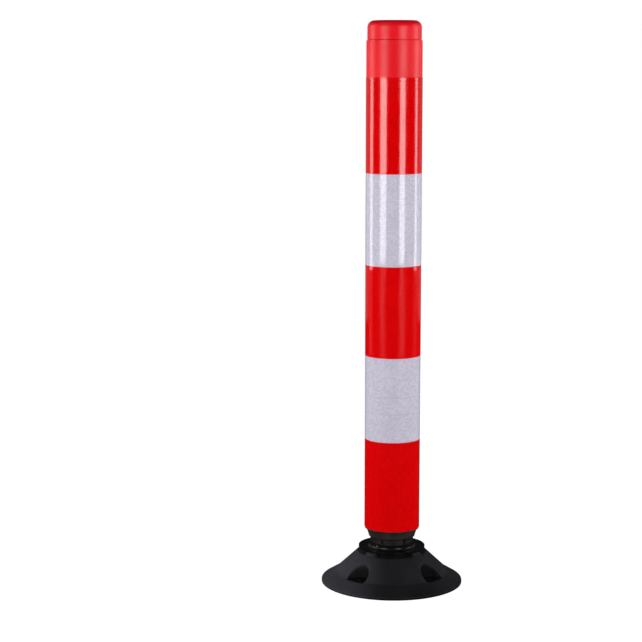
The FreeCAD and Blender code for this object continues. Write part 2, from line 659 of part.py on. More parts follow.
def make_cap():
    """Push-in end cap: rounded head on a hollow skirt with snap beads."""
    body = new_body("cap")
    solid = turned(body, "cap_solid", [
        ("cap_hollow_radius", "cap_skirt_bottom"), ("cap_skirt_radius", "cap_skirt_bottom"),
        ("cap_skirt_radius", "cap_bottom"), ("cap_radius", "cap_bottom"),
        ("cap_radius", "cap_top"), ("cap_recess_radius", "cap_top"),
        ("cap_recess_radius", "cap_recess_floor"), (AXIS, "cap_recess_floor"),
        (AXIS, "cap_hollow_top"), ("cap_hollow_radius", "cap_hollow_top"),
    ])
    shoulder = rounded(body, "cap_shoulder", solid, "cap_radius", "cap_top", "cap_round")
    rounded(body, "cap_rim", shoulder, "cap_radius", "cap_bottom", "cap_lower_round")
    for number in range(CAP_BEADS):
        ring = new_sketch(body, f"bead_ring_{number}", "XY_Plane", "cap_skirt_bottom")
        rise = f"Sizes.cap_skirt_bottom + Sizes.bead_start + {number} * Sizes.bead_pitch"
        ring.setExpression("AttachmentOffset.Base.z", rise)
        for circle, radius in enumerate(("cap_hollow_radius", "bead_radius")):
            ring.addGeometry(Part.Circle(Vector(0, 0, 0), Vector(0, 0, 1), size(radius)), False)
            ring.addConstraint(Sketcher.Constraint("Coincident", circle, 3, -1, 1))
            rule = Sketcher.Constraint("Radius", circle, size(radius))
            pin_length(ring, rule, f"Sizes.{radius}")
        doc.recompute()
        extrude(body, "Pad", f"bead_{number}", ring, "Sizes.bead_height")


make_foot()
make_socket_ring()
make_seat_washer()
make_lock_plate()
make_alignment_mark()
make_steel_plate("lower_plate", "lower_plate_bottom", "lower_plate_top")
make_screws("lower", "lower_counterbore_top", "lower_plate_top", upward=True)
make_flex_neck()
make_steel_plate("upper_plate", "upper_plate_bottom", "upper_plate_top")
make_screws("upper", "end_plug_web_top", "upper_plate_bottom", upward=False)
make_tube_plug()
make_plug_screws()
make_tube()
make_cap()
make_film("film_red_bottom", "film_start", "film_edge_one")
make_film("film_white_lower", "film_edge_one", "film_edge_two")
make_film("film_red_middle", "film_edge_two", "film_edge_three")
make_film("film_white_upper", "film_edge_three", "film_edge_four")
make_film("film_red_top", "film_edge_four", "film_end")

doc.recompute()
for item in doc.Objects:
    if "Invalid" in item.State or "Error" in item.State:
        raise RuntimeError(f"{item.Name} did not recompute: {item.State}")
for node in nodes:
    if node.Shape.isNull() or not node.Shape.isValid():
        raise RuntimeError(f"{node.Label} has no valid shape")

os.makedirs("parts", exist_ok=True)
for node in nodes:
    node.Shape.exportStep(f"parts/{node.Label}.step")
    box = node.Shape.optimalBoundingBox(False)
    print(f"{node.Label:18s} solids {len(node.Shape.Solids)}  volume {node.Shape.Volume / 1000:9.2f} cm3"
          f"  z {box.ZMin:8.2f} {box.ZMax:8.2f}  r {box.XMax:7.2f}")
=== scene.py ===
import json
import math
import bpy
import numpy as np
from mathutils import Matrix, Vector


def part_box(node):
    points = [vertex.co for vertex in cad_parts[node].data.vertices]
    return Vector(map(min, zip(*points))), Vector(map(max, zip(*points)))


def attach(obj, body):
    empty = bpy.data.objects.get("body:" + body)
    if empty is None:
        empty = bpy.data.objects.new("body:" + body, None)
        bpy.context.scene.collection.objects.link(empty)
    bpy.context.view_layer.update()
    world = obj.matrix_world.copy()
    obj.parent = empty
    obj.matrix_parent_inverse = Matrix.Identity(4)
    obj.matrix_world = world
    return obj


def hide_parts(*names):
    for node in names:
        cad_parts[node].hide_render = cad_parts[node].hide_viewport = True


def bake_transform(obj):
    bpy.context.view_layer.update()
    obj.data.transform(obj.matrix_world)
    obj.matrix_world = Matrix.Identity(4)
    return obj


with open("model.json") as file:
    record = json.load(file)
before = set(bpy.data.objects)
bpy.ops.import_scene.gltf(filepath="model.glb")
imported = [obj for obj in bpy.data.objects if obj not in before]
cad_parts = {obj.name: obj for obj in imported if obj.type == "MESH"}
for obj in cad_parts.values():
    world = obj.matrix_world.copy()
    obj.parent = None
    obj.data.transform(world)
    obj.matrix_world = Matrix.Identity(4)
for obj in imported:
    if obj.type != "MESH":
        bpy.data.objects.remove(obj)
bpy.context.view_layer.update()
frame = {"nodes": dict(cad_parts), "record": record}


# ---- Studio ------------------------------------------------------------------------------
# A long lens looks slightly down at the post from the front, with the post right of the middle.
# Two wide soft boxes stand in front and two narrow ones beside it, all ending above the ground.
# Dim sheets behind brighten its outline. Fill lights that leave no highlight, low in front and
# taller at the sides, and a weak top light do the rest.
scene = bpy.context.scene
scene.view_settings.view_transform = "Standard"

LENS_DIP = 8.256
LENS_TURN = -2.7
camera_data = bpy.data.cameras.new("camera")
camera_data.lens = 100.4
camera_data.sensor_width = 36.0
camera = bpy.data.objects.new("camera", camera_data)
camera.location = (-0.2754, -3.1324, 0.9300)
camera.rotation_euler = (math.radians(90 - LENS_DIP), 0.0, math.radians(LENS_TURN))
scene.collection.objects.link(camera)
scene.camera = camera
camera_bearing = math.degrees(math.atan2(camera.location.x, -camera.location.y))

BOX_DISTANCE, SIDE_DISTANCE, SHEET_DISTANCE = 2.2, 2.0, 2.6
BOX_FOOT, BOX_HEAD = 0.34, 1.6
TALL_HEAD = 1.9
FILL_SPREAD, FILL_FOOT = 30, 0.02
# Bearing, height of the upper edge and radiance of each fill light.
FILLS = ((-60, 0.60, 7.2), (0, 0.60, 6.2), (60, 0.60, 6.6), (-85, 0.80, 8.0), (-125, 1.20, 5.6),
         (80, 0.90, 7.4), (125, 1.20, 7.2))


def soft_box(name, bearing, spread, distance, low, high, radiance):
    """Tall area light that faces the post and fills spread degrees of its surroundings.

    Bearings are counted from the camera, rightwards; energy is pi times area times radiance.
    """
    light = bpy.data.lights.new(name, "AREA")
    light.shape = "RECTANGLE"
    light.size = 2 * distance * math.tan(math.radians(spread / 2))
    light.size_y = high - low
    light.energy = math.pi * light.size * light.size_y * radiance
    lamp = bpy.data.objects.new(name, light)
    angle = math.radians(camera_bearing + bearing)
    lamp.location = (distance * math.sin(angle), -distance * math.cos(angle), (low + high) / 2)
    lamp.rotation_euler = (math.radians(90), 0.0, angle)
    scene.collection.objects.link(lamp)
    return lamp


soft_box("box_front_left", -43, 24, BOX_DISTANCE, BOX_FOOT, BOX_HEAD, 9.4)
soft_box("box_front_right", 36, 23, BOX_DISTANCE, BOX_FOOT, BOX_HEAD, 9.4)
soft_box("box_side_left", -103, 16, SIDE_DISTANCE, BOX_FOOT, TALL_HEAD, 5.5)
soft_box("box_side_right", 102, 15, SIDE_DISTANCE, BOX_FOOT, TALL_HEAD, 5.5)
soft_box("sheet_back_left", -140, 50, SHEET_DISTANCE, 0.10, TALL_HEAD, 0.22)
soft_box("sheet_back_right", 140, 50, SHEET_DISTANCE, 0.10, TALL_HEAD, 0.22)
for bearing, head, radiance in FILLS:
    fill = soft_box(f"fill_{bearing}", bearing, FILL_SPREAD, BOX_DISTANCE, FILL_FOOT, head, radiance)
    fill.visible_glossy = False

top_light = bpy.data.lights.new("top_light", "AREA")
top_light.shape = "DISK"
top_light.size = 1.3
top_light.energy = 4
top_lamp = bpy.data.objects.new("top_light", top_light)
top_lamp.location = (-1.15, -0.75, 2.5)
top_lamp.rotation_euler = (-top_lamp.location).to_track_quat("-Z", "Y").to_euler()
scene.collection.objects.link(top_lamp)


def white_world():
    """White wherever the lens sees it, but dim as a light, so that the boxes shape the post."""
    world = bpy.data.worlds.new("room")
    scene.world = world
    world.use_nodes = True
    tree = world.node_tree
    tree.nodes.clear()
    output = tree.nodes.new("ShaderNodeOutputWorld")
    mix = tree.nodes.new("ShaderNodeMixShader")
    path = tree.nodes.new("ShaderNodeLightPath")
    seen = tree.nodes.new("ShaderNodeBackground")
    seen.inputs["Color"].default_value = (1.0, 1.0, 1.0, 1.0)
    lit = tree.nodes.new("ShaderNodeBackground")
    lit.inputs["Color"].default_value = (0.95, 0.96, 1.0, 1.0)
    lit.inputs["Strength"].default_value = 0.03
    tree.links.new(path.outputs["Is Camera Ray"], mix.inputs["Fac"])
    tree.links.new(lit.outputs[0], mix.inputs[1])
    tree.links.new(seen.outputs[0], mix.inputs[2])
    tree.links.new(mix.outputs[0], output.inputs["Surface"])


white_world()


def new_piece(name, points, faces):
    """Object at the origin, in the scene, with a mesh of these points and faces."""
    mesh = bpy.data.meshes.new(name)
    mesh.from_pydata(points, [], faces)
    piece = bpy.data.objects.new(name, mesh)
    scene.collection.objects.link(piece)
    return piece


def pale_floor():
    """Floor that takes a faint shadow near the post and glows into the white room further out.

    For every ray but the lens's own it is dark, so that it throws little light back.
    """
    reach = 40.0
    corners = [(-reach, -reach, 0), (reach, -reach, 0), (reach, reach, 0), (-reach, reach, 0)]
    floor = new_piece("floor", corners, [(0, 1, 2, 3)])
    material = bpy.data.materials.new("floor_white")
    material.use_nodes = True
    tree = material.node_tree
    tree.nodes.clear()
    output = tree.nodes.new("ShaderNodeOutputMaterial")
    path = tree.nodes.new("ShaderNodeLightPath")
    mix = tree.nodes.new("ShaderNodeMixShader")
    shade = tree.nodes.new("ShaderNodeBsdfDiffuse")
    shade.inputs["Color"].default_value = (0.16, 0.16, 0.16, 1.0)
    glow = tree.nodes.new("ShaderNodeEmission")
    place = tree.nodes.new("ShaderNodeTexCoord")
    length = tree.nodes.new("ShaderNodeVectorMath")
    length.operation = "LENGTH"
    fade = tree.nodes.new("ShaderNodeMapRange")
    fade.inputs["From Min"].default_value = 0.4
    fade.inputs["From Max"].default_value = 2.0
    fade.inputs["To Min"].default_value = 0.90
    fade.inputs["To Max"].default_value = 1.0
    tree.links.new(place.outputs["Object"], length.inputs[0])
    tree.links.new(length.outputs["Value"], fade.inputs["Value"])
    tree.links.new(fade.outputs["Result"], glow.inputs["Strength"])
    both = tree.nodes.new("ShaderNodeAddShader")
    dim = tree.nodes.new("ShaderNodeBsdfDiffuse")
    dim.inputs["Color"].default_value = (0.012, 0.012, 0.012, 1.0)
    tree.links.new(shade.outputs[0], both.inputs[0])
    tree.links.new(glow.outputs[0], both.inputs[1])
    tree.links.new(path.outputs["Is Camera Ray"], mix.inputs["Fac"])
    tree.links.new(dim.outputs[0], mix.inputs[1])
    tree.links.new(both.outputs[0], mix.inputs[2])
    tree.links.new(mix.outputs[0], output.inputs["Surface"])
    floor.data.materials.append(material)


pale_floor()


# ---- Foot --------------------------------------------------------------------------------
# One moulding of black recycled rubber: a shallow skirt, a steep flank with four upright bolt
# pockets, a crown with four lugs round the socket, and hollows with ribs underneath. It is
# bolted to the road through the pocket floors. The mould's spark-worn face leaves it matt.
FOOT_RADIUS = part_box("foot")[1][0]
LUG_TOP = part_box("foot")[1][2]
EDGE_TOP = 0.0050
CREASE_RADIUS, CREASE_HEIGHT = 0.1003, 0.0207
CROWN_RADIUS, CROWN_HEIGHT = 0.0620, 0.0567
LUG_FOOT_RADIUS, LUG_HEAD_RADIUS = 0.0614, 0.0565
LUG_HALF_ANGLE = 10.5
SOCKET_RADIUS, SOCKET_FLOOR = 0.0470, 0.0245
POCKET_RADIUS, POCKET_FLOOR = 0.0193, 0.0196
POCKET_ROUND = 0.0030
EDGE_ROUND = 0.0014
DEEP_HOLLOW, SHALLOW_HOLLOW = 0.0340, 0.0020
FOOT_COLUMNS, TOP_RINGS, UNDERSIDE_RINGS = 576, 88, 64
HOLE_SIDES = 48
bolts = next(mount for mount in frame["record"]["mounts"] if mount["name"] == "anchor_bolts")
BOLT_CIRCLE = bolts["dims"]["pcd_mm"] / 2000
BOLT_HOLE = bolts["dims"]["hole_r_mm"] / 1000


def soft_min(a, b, blend):
    """-k ln(exp(-a/k) + exp(-b/k)): the lower of two heights, rounded where they cross."""
    return -blend * np.logaddexp(-a / blend, -b / blend)


def ease(value, start, end):
    """3t^2 - 2t^3, for t running from 0 at start to 1 at end."""
    t = np.clip((value - start) / (end - start), 0.0, 1.0)
    return t * t * (3 - 2 * t)


def nearest_bolt(x, y):
    """Place of the bolt axis nearest each plan point, one of four at 45 degrees, and its distance."""
    quarter = np.floor(np.arctan2(y, x) / (np.pi / 2)) * np.pi / 2 + np.pi / 4
    centre_x, centre_y = BOLT_CIRCLE * np.cos(quarter), BOLT_CIRCLE * np.sin(quarter)
    return centre_x, centre_y, np.hypot(x - centre_x, y - centre_y)


def gather_to_pockets(x, y):
    """Slide plan points towards the nearest pocket's wall, so that the grid is fine there.

    A point at distance u from the wall goes to u (1 - 0.65 exp(-(u / 4 mm)^2)).
    """
    centre_x, centre_y, distance = nearest_bolt(x, y)
    rim = POCKET_RADIUS + 0.0007
    from_rim = distance - rim
    moved = rim + from_rim * (1 - 0.65 * np.exp(-(from_rim / 0.004) ** 2))
    scale = moved / np.maximum(distance, 1e-6)
    return centre_x + (x - centre_x) * scale, centre_y + (y - centre_y) * scale


def foot_height(x, y):
    """Height of the foot's top over a plan point.

    Skirt and flank are straight in section and meet in a rounded crease; the crown caps them;
    lugs stand on the crown; each pocket's wall climbs as 1 - (1 - t)^4 from its level floor,
    which leaves a tight corner below and a generous moulded round at the rim.
    """
    radius = np.hypot(x, y)
    flank = CROWN_HEIGHT - (CROWN_HEIGHT - CREASE_HEIGHT) * (radius - CROWN_RADIUS) / (
        CREASE_RADIUS - CROWN_RADIUS)
    skirt = CREASE_HEIGHT - (CREASE_HEIGHT - EDGE_TOP) * (radius - CREASE_RADIUS) / (
        FOOT_RADIUS - CREASE_RADIUS)
    slope = -soft_min(-flank, -skirt, 0.0005)
    body = soft_min(slope, CROWN_HEIGHT, 0.0007)
    lug = CROWN_HEIGHT + (LUG_TOP - CROWN_HEIGHT) * (LUG_FOOT_RADIUS - radius) / (
        LUG_FOOT_RADIUS - LUG_HEAD_RADIUS)
    lug = soft_min(lug, LUG_TOP, 0.0004)
    off_lug = np.abs(np.degrees(np.arctan2(y, x)) % 90 - 45)
    on_lug = 1 - ease(off_lug, LUG_HALF_ANGLE - 0.7, LUG_HALF_ANGLE + 0.3)
    body = body + np.maximum(lug - body, 0.0) * on_lug
    distance = nearest_bolt(x, y)[2]
    climb = np.clip((distance - POCKET_RADIUS + 0.0002) / POCKET_ROUND, 0.0, 1.0)
    floor = soft_min(body, POCKET_FLOOR, 0.0003)
    return floor + (body - floor) * (1 - (1 - climb) ** 4)


def foot_underside(radius, bearing):
    """Height of the underside: eight deep hollows between ribs, and eight shallow ones outside."""
    off_middle = np.abs(np.degrees(bearing) % 45 - 22.5)
    between_ribs = 1 - ease(off_middle, 16.6, 17.6)
    deep = ease(radius, 0.0520, 0.0528) * (1 - ease(radius, 0.0672, 0.0680))
    shallow = ease(radius, 0.1080, 0.1088) * (1 - ease(radius, 0.1182, 0.1190))
    return between_ribs * (DEEP_HOLLOW * deep + SHALLOW_HOLLOW * shallow)


def ring_surface(name, rings, loop=False):
    """Closed mesh of a stack of closed rings, given as an array (rings, columns, 3).

    Rings run outwards on top, down, and back inwards underneath, so that faces point outwards.
    The stack's ends are closed with fans, or joined to each other when loop is true.
    """
    count, columns = rings.shape[:2]
    index = np.arange(count * columns).reshape(count, columns)
    lower = np.roll(index, -1, axis=0) if loop else index[1:]
    upper = index if loop else index[:-1]
    quads = np.stack([upper, lower, np.roll(lower, -1, axis=1), np.roll(upper, -1, axis=1)], axis=-1)
    faces = quads.reshape(-1, 4).tolist()
    points = rings.reshape(-1, 3)
    if not loop:
        points = np.vstack([points, rings[0].mean(axis=0), rings[-1].mean(axis=0)])
        hub = np.full(columns, count * columns)
        faces += np.stack([hub, index[0], np.roll(index[0], -1)], axis=-1).tolist()
        faces += np.stack([hub + 1, np.roll(index[-1], -1), index[-1]], axis=-1).tolist()
    piece = new_piece(name, points.tolist(), faces)
    piece.data.polygons.foreach_set("use_smooth", np.ones(len(faces), dtype=bool))
    return piece


def stacked(radius, height, columns):
    """Rings (rings, columns, 3) from radii and heights that broadcast against the bearings."""
    bearing = np.linspace(0, 2 * np.pi, columns, endpoint=False)[None, :]
    radius = np.broadcast_to(radius, (radius.shape[0], columns))
    height = np.broadcast_to(height, radius.shape)
    return np.stack([radius * np.cos(bearing), radius * np.sin(bearing), height], axis=-1)


def sharpen(piece, degrees):
    """Keep edges steeper than an angle crisp while the rest shades smoothly."""
    piece.data.set_sharp_from_angle(angle=math.radians(degrees))


def foot_rings():
    """The socket's floor and wall, the top as a height over the plan, the edge, the underside."""
    columns = FOOT_COLUMNS
    bearing = np.linspace(0, 2 * np.pi, columns, endpoint=False)[None, :]
    plan = np.linspace(SOCKET_RADIUS + 0.0006, FOOT_RADIUS - EDGE_ROUND, TOP_RINGS)[:, None]
    x, y = gather_to_pockets(plan * np.cos(bearing), plan * np.sin(bearing))
    top = np.stack([x, y, foot_height(x, y)], axis=-1)
    wall_radius = SOCKET_RADIUS + np.array([-0.0170, -0.0004, 0.0, 0.0, 0.0, 0.0002])[:, None]
    rise = np.array([0.0, 0.0, 0.0004, 0.60, 0.985, 0.995])[:, None]
    crown = top[0, :, 2][None, :]
    inside = stacked(wall_radius, SOCKET_FLOOR + (crown - SOCKET_FLOOR) * rise, columns)
    turn = np.linspace(0.0, 1.0, 6)[1:, None]
    start = top[-1, 0, 2]
    edge_radius = FOOT_RADIUS - EDGE_ROUND * (1 - turn) ** 2
    edge_height = (1 - turn) ** 2 * start + 2 * turn * (1 - turn) * EDGE_TOP + turn ** 2 * 0.0034
    edge = stacked(edge_radius, edge_height, columns)
    toe = stacked(FOOT_RADIUS - np.array([[0.0], [0.0001], [0.0005]]),
                  np.array([[0.0008], [0.0002], [0.0]]), columns)
    under = np.linspace(FOOT_RADIUS - 0.0030, 0.0040, UNDERSIDE_RINGS)[:, None]
    underside = stacked(under, foot_underside(under, bearing), columns)
    return np.concatenate([inside, top, edge, toe, underside])


def drill(piece):
    """Cut the four anchor holes through the pocket floors with upright cylinders."""
    turns = np.linspace(0, 2 * np.pi, HOLE_SIDES, endpoint=False)
    points, faces = [], []
    for quarter in range(4):
        middle = np.pi / 4 + quarter * np.pi / 2
        first = len(points)
        for height in (-0.01, POCKET_FLOOR + 0.01):
            ring = np.stack([BOLT_CIRCLE * np.cos(middle) + BOLT_HOLE * np.cos(turns),
                             BOLT_CIRCLE * np.sin(middle) + BOLT_HOLE * np.sin(turns),
                             np.full(HOLE_SIDES, height)], axis=-1)
            points += ring.tolist()
        low = np.arange(first, first + HOLE_SIDES)
        high = low + HOLE_SIDES
        faces += np.stack([low, np.roll(low, -1), np.roll(high, -1), high], axis=-1).tolist()
        faces += [low[::-1].tolist(), high.tolist()]
    tool = new_piece("drill", points, faces)
    cut = piece.modifiers.new("anchor_holes", "BOOLEAN")
    cut.operation = "DIFFERENCE"
    cut.solver = "EXACT"
    cut.object = tool
    whole = piece.evaluated_get(bpy.context.evaluated_depsgraph_get())
    drilled = bpy.data.meshes.new_from_object(whole)
    piece.modifiers.clear()
    piece.data = drilled
    bpy.data.objects.remove(tool)


def mark_pockets(piece):
    """Point attribute pocket, the mask of the pockets' painted shade: 1 in the bolt pockets, 0 on
    their rims and on the skirt below.
    """
    place = np.empty(len(piece.data.vertices) * 3)
    piece.data.vertices.foreach_get("co", place)
    x, y, height = place.reshape(-1, 3).T
    distance = nearest_bolt(x, y)[2]
    inside = 1 - ease(distance, POCKET_RADIUS + 0.0002, POCKET_RADIUS + 0.0014)
    inside *= ease(height, POCKET_FLOOR - 0.0007, POCKET_FLOOR - 0.0002)
    piece.data.attributes.new("pocket", "FLOAT", "POINT").data.foreach_set("value", inside)


def plain_finish(name, colour, roughness, specular=0.5):
    """Principled material with its plain values on the shader's own sockets."""
    material = bpy.data.materials.new(name)
    material.use_nodes = True
    shader = material.node_tree.nodes["Principled BSDF"]
    shader.inputs["Base Color"].default_value = (*colour, 1.0)
    shader.inputs["Roughness"].default_value = roughness
    shader.inputs["Specular IOR Level"].default_value = specular
    return material


def add_noise(material, scale, detail=4.0, stretch=(1.0, 1.0, 1.0), offset=(0.0, 0.0, 0.0)):
    """Factor from noise over object coordinates, which stretch scales and offset then moves."""
    nodes, links = material.node_tree.nodes, material.node_tree.links
    place = nodes.new("ShaderNodeTexCoord")
    squeeze = nodes.new("ShaderNodeMapping")
    squeeze.inputs["Scale"].default_value = stretch
    squeeze.inputs["Location"].default_value = offset
    noise = nodes.new("ShaderNodeTexNoise")
    noise.inputs["Scale"].default_value = scale
    noise.inputs["Detail"].default_value = detail
    links.new(place.outputs["Object"], squeeze.inputs["Vector"])
    links.new(squeeze.outputs["Vector"], noise.inputs["Vector"])
    return noise.outputs["Fac"]


def add_colours(material, factor, stops):
    """Base colour from a factor through a ramp of (position, colour) stops."""
    nodes, links = material.node_tree.nodes, material.node_tree.links
    ramp = nodes.new("ShaderNodeValToRGB")
    ramp.color_ramp.elements.remove(ramp.color_ramp.elements[1])
    for number, (position, colour) in enumerate(stops):
        stop = ramp.color_ramp.elements[0] if number == 0 else ramp.color_ramp.elements.new(position)
        stop.position = position
        stop.color = (*colour, 1.0)
    links.new(factor, ramp.inputs["Fac"])
    links.new(ramp.outputs["Color"], nodes["Principled BSDF"].inputs["Base Color"])


def add_roughness(material, factor, low, high):
    """Roughness from low to high as a factor goes from 0.3 to 0.7, the usual span of noise."""
    nodes, links = material.node_tree.nodes, material.node_tree.links
    span = nodes.new("ShaderNodeMapRange")
    span.inputs["From Min"].default_value = 0.3
    span.inputs["From Max"].default_value = 0.7
    span.inputs["To Min"].default_value = low
    span.inputs["To Max"].default_value = high
    links.new(factor, span.inputs["Value"])
    links.new(span.outputs["Result"], nodes["Principled BSDF"].inputs["Roughness"])


def add_bumps(material, heights):
    """Chain of bumps, one for each (factor, depth in metres)."""
    nodes, links = material.node_tree.nodes, material.node_tree.links
    normal = None
    for factor, depth in heights:
        bump = nodes.new("ShaderNodeBump")
        bump.inputs["Strength"].default_value = 1.0
        bump.inputs["Distance"].default_value = depth
        links.new(factor, bump.inputs["Height"])
        if normal is not None:
            links.new(normal, bump.inputs["Normal"])
        normal = bump.outputs["Normal"]
    links.new(normal, nodes["Principled BSDF"].inputs["Normal"])


def foot_tone(material):
    """How pale the foot is: half the noise, plus painted light from the left towards -X and a little
    painted light on the flank above the crease, less half the pocket attribute as painted shade,
    so that the pockets stay darkest."""
    nodes, links = material.node_tree.nodes, material.node_tree.links
    place = nodes.new("ShaderNodeTexCoord")
    parts = nodes.new("ShaderNodeSeparateXYZ")
    # Painted light: towards -X the foot turns paler, as if lit more strongly from the left.
    painted_light_from_left = nodes.new("ShaderNodeMapRange")
    painted_light_from_left.interpolation_type = "SMOOTHSTEP"
    painted_light_from_left.inputs["From Min"].default_value = 0.01
    painted_light_from_left.inputs["From Max"].default_value = -0.11
    painted_light_from_left.inputs["To Max"].default_value = 0.5
    links.new(place.outputs["Object"], parts.inputs["Vector"])
    links.new(parts.outputs["X"], painted_light_from_left.inputs["Value"])
    # Painted light: the flank just above the crease is made a little paler than the skirt.
    painted_light_above_crease = nodes.new("ShaderNodeMapRange")
    painted_light_above_crease.inputs["From Min"].default_value = CREASE_HEIGHT - 0.0008
    painted_light_above_crease.inputs["From Max"].default_value = CREASE_HEIGHT + 0.0004
    painted_light_above_crease.inputs["To Max"].default_value = 0.10
    links.new(parts.outputs["Z"], painted_light_above_crease.inputs["Value"])
    # The two painted lights are added together.
    paleness = nodes.new("ShaderNodeMath")
    links.new(painted_light_from_left.outputs["Result"], paleness.inputs[0])
    links.new(painted_light_above_crease.outputs["Result"], paleness.inputs[1])
    tone = nodes.new("ShaderNodeMath")
    tone.operation = "MULTIPLY_ADD"
    tone.inputs[1].default_value = 0.5
    links.new(add_noise(material, 14.0), tone.inputs[0])
    links.new(paleness.outputs["Value"], tone.inputs[2])
    # Painted shade: half the pocket attribute is taken off the tone, so the pockets stay darkest.
    pocket = nodes.new("ShaderNodeAttribute")
    pocket.attribute_name = "pocket"
    tone_with_pocket_shade = nodes.new("ShaderNodeMath")
    tone_with_pocket_shade.operation = "MULTIPLY_ADD"
    tone_with_pocket_shade.inputs[1].default_value = -0.5
    links.new(pocket.outputs["Fac"], tone_with_pocket_shade.inputs[0])
    links.new(tone.outputs["Value"], tone_with_pocket_shade.inputs[2])
    return tone_with_pocket_shade.outputs["Value"]


def foot_rubber():
    """Bluish black rubber with a fine spark-worn grain; its tone carries painted light and shade."""
    material = plain_finish("foot_rubber", (0.005, 0.005, 0.006), 0.6, 0.07)
    add_colours(material, foot_tone(material),
                [(0.05, (0.0012, 0.0012, 0.0014)), (0.18, (0.0026, 0.0026, 0.0030)),
                 (0.38, (0.0054, 0.0053, 0.0064)), (0.84, (0.0210, 0.0203, 0.0255))])
    add_roughness(material, add_noise(material, 90.0, 6.0), 0.50, 0.66)
    add_bumps(material, [(add_noise(material, 1000.0, 2.0), 0.00010),
                         (add_noise(material, 380.0, 3.0), 0.00022)])
    return material


foot_body = ring_surface("foot_moulding", foot_rings())
drill(foot_body)
mark_pockets(foot_body)
sharpen(foot_body, 40)
foot_body.data.materials.clear()
foot_body.data.materials.append(foot_rubber())
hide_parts("foot")
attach(foot_body, "foot")


# ---- Twist lock --------------------------------------------------------------------------
# A hard nylon bayonet ring is moulded into the foot over a rubber washer. The glossy nylon lock
# plate drops in, turns an eighth of a turn and holds under the ring's claws. A small grey
# triangle on its hub marks which way it is turned.
def dress(node, material):
    """Give a CAD node one material on every slot."""
    data = frame["nodes"][node].data
    for slot in range(len(data.materials)):
        data.materials[slot] = material


def lock_nylon():
    """Glossy black nylon, with a faint orange peel and rubbed, duller patches."""
    material = plain_finish("lock_nylon", (0.002, 0.002, 0.0022), 0.28, 0.16)
    cloud = add_noise(material, 45.0)
    add_colours(material, cloud, [(0.35, (0.0012, 0.0012, 0.0014)), (0.70, (0.0030, 0.0029, 0.0032))])
    add_roughness(material, add_noise(material, 30.0, 6.0, offset=(0.3, 0.1, 0.0)), 0.24, 0.34)
    add_bumps(material, [(add_noise(material, 420.0, 2.0), 0.00002)])
    return material


def ring_nylon():
    """Matt black glass-filled nylon with a streaky flow."""
    material = plain_finish("ring_nylon", (0.020, 0.020, 0.021), 0.5)
    flow = add_noise(material, 60.0, 5.0, (1.0, 1.0, 6.0))
    add_colours(material, flow, [(0.35, (0.014, 0.014, 0.015)), (0.70, (0.030, 0.030, 0.032))])
    add_roughness(material, flow, 0.45, 0.62)
    add_bumps(material, [(add_noise(material, 700.0, 2.0), 0.00004)])
    return material


def washer_rubber():
    """Soft dark grey rubber, slightly chalky."""
    material = plain_finish("washer_rubber", (0.05, 0.05, 0.05), 0.7, 0.3)
    chalk = add_noise(material, 120.0, 5.0)
    add_colours(material, chalk, [(0.35, (0.035, 0.035, 0.036)), (0.70, (0.075, 0.074, 0.072))])
    add_bumps(material, [(add_noise(material, 500.0, 3.0), 0.00006)])
    return material


def mark_paint():
    """Thick grey marking paint, dulled by dirt."""
    material = plain_finish("mark_paint", (0.05, 0.05, 0.05), 0.5, 0.3)
    dirt = add_noise(material, 900.0, 5.0)
    add_colours(material, dirt, [(0.35, (0.022, 0.022, 0.022)), (0.62, (0.055, 0.055, 0.054))])
    add_bumps(material, [(add_noise(material, 1500.0, 2.0), 0.00003)])
    return material


def zinc_steel():
    """Zinc-plated steel: a fine spangle, with darker tarnish in places."""
    material = plain_finish("zinc_steel", (0.6, 0.6, 0.6), 0.32)
    material.node_tree.nodes["Principled BSDF"].inputs["Metallic"].default_value = 1.0
    spangle = add_noise(material, 260.0, 5.0)
    add_colours(material, spangle, [(0.30, (0.42, 0.43, 0.44)), (0.65, (0.68, 0.69, 0.70))])
    add_roughness(material, spangle, 0.24, 0.42)
    add_bumps(material, [(spangle, 0.00002)])
    return material


steel = zinc_steel()
hard_nylon = ring_nylon()
dress("socket_ring", hard_nylon)
dress("seat_washer", washer_rubber())
dress("lock_plate", lock_nylon())
dress("alignment_mark", mark_paint())
for fastener in ("lower_plate", "lower_screws", "lower_washers"):
    dress(fastener, steel)


# ---- Flexible neck -----------------------------------------------------------------------
# One piece of natural rubber bonded between two steel plates: a waist parted into six panels
# by upright grooves, then a collar that flares up to a flange under the tube. It is drawn as a
# lower and an upper half that meet near the collar's foot. Their meeting faces are hollowed,
# so that neither the lock plate nor the plug cuts them in a bend.
neck_low, neck_high = (corner[2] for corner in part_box("flex_neck"))
FLANGE_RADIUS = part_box("flex_neck")[1][0]
HUB_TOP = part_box("lock_plate")[1][2]
SPIGOT_RADIUS = 0.0329
WAIST_RADIUS = 0.0385
COLLAR_FOOT = (0.0413, 0.0846)
COLLAR_TOP = (0.0460, 0.0983)
SPLIT_HEIGHT = 0.0863
SPLIT_HOLLOW = 0.0035
PANELS = 6
GROOVE_DEPTH = 0.0030
GROOVE_BED_DEGREES, GROOVE_BROW_DEGREES = 2.4, 3.9
GROOVE_FOOT, GROOVE_FULL = 0.0750, 0.0762
COLLAR_HOLLOW = 0.0018
NECK_COLUMNS = 288


def waist_radius(bearing, height):
    """Waist with upright grooves that fade out at their feet, about six degrees wide each."""
    pitch = 2 * np.pi / PANELS
    off_groove = np.degrees(np.abs((bearing + pitch / 2) % pitch - pitch / 2))
    groove = 1 - ease(off_groove, GROOVE_BED_DEGREES, GROOVE_BROW_DEGREES)
    reach = ease(height, GROOVE_FOOT, GROOVE_FULL)
    return WAIST_RADIUS - GROOVE_DEPTH * groove * reach


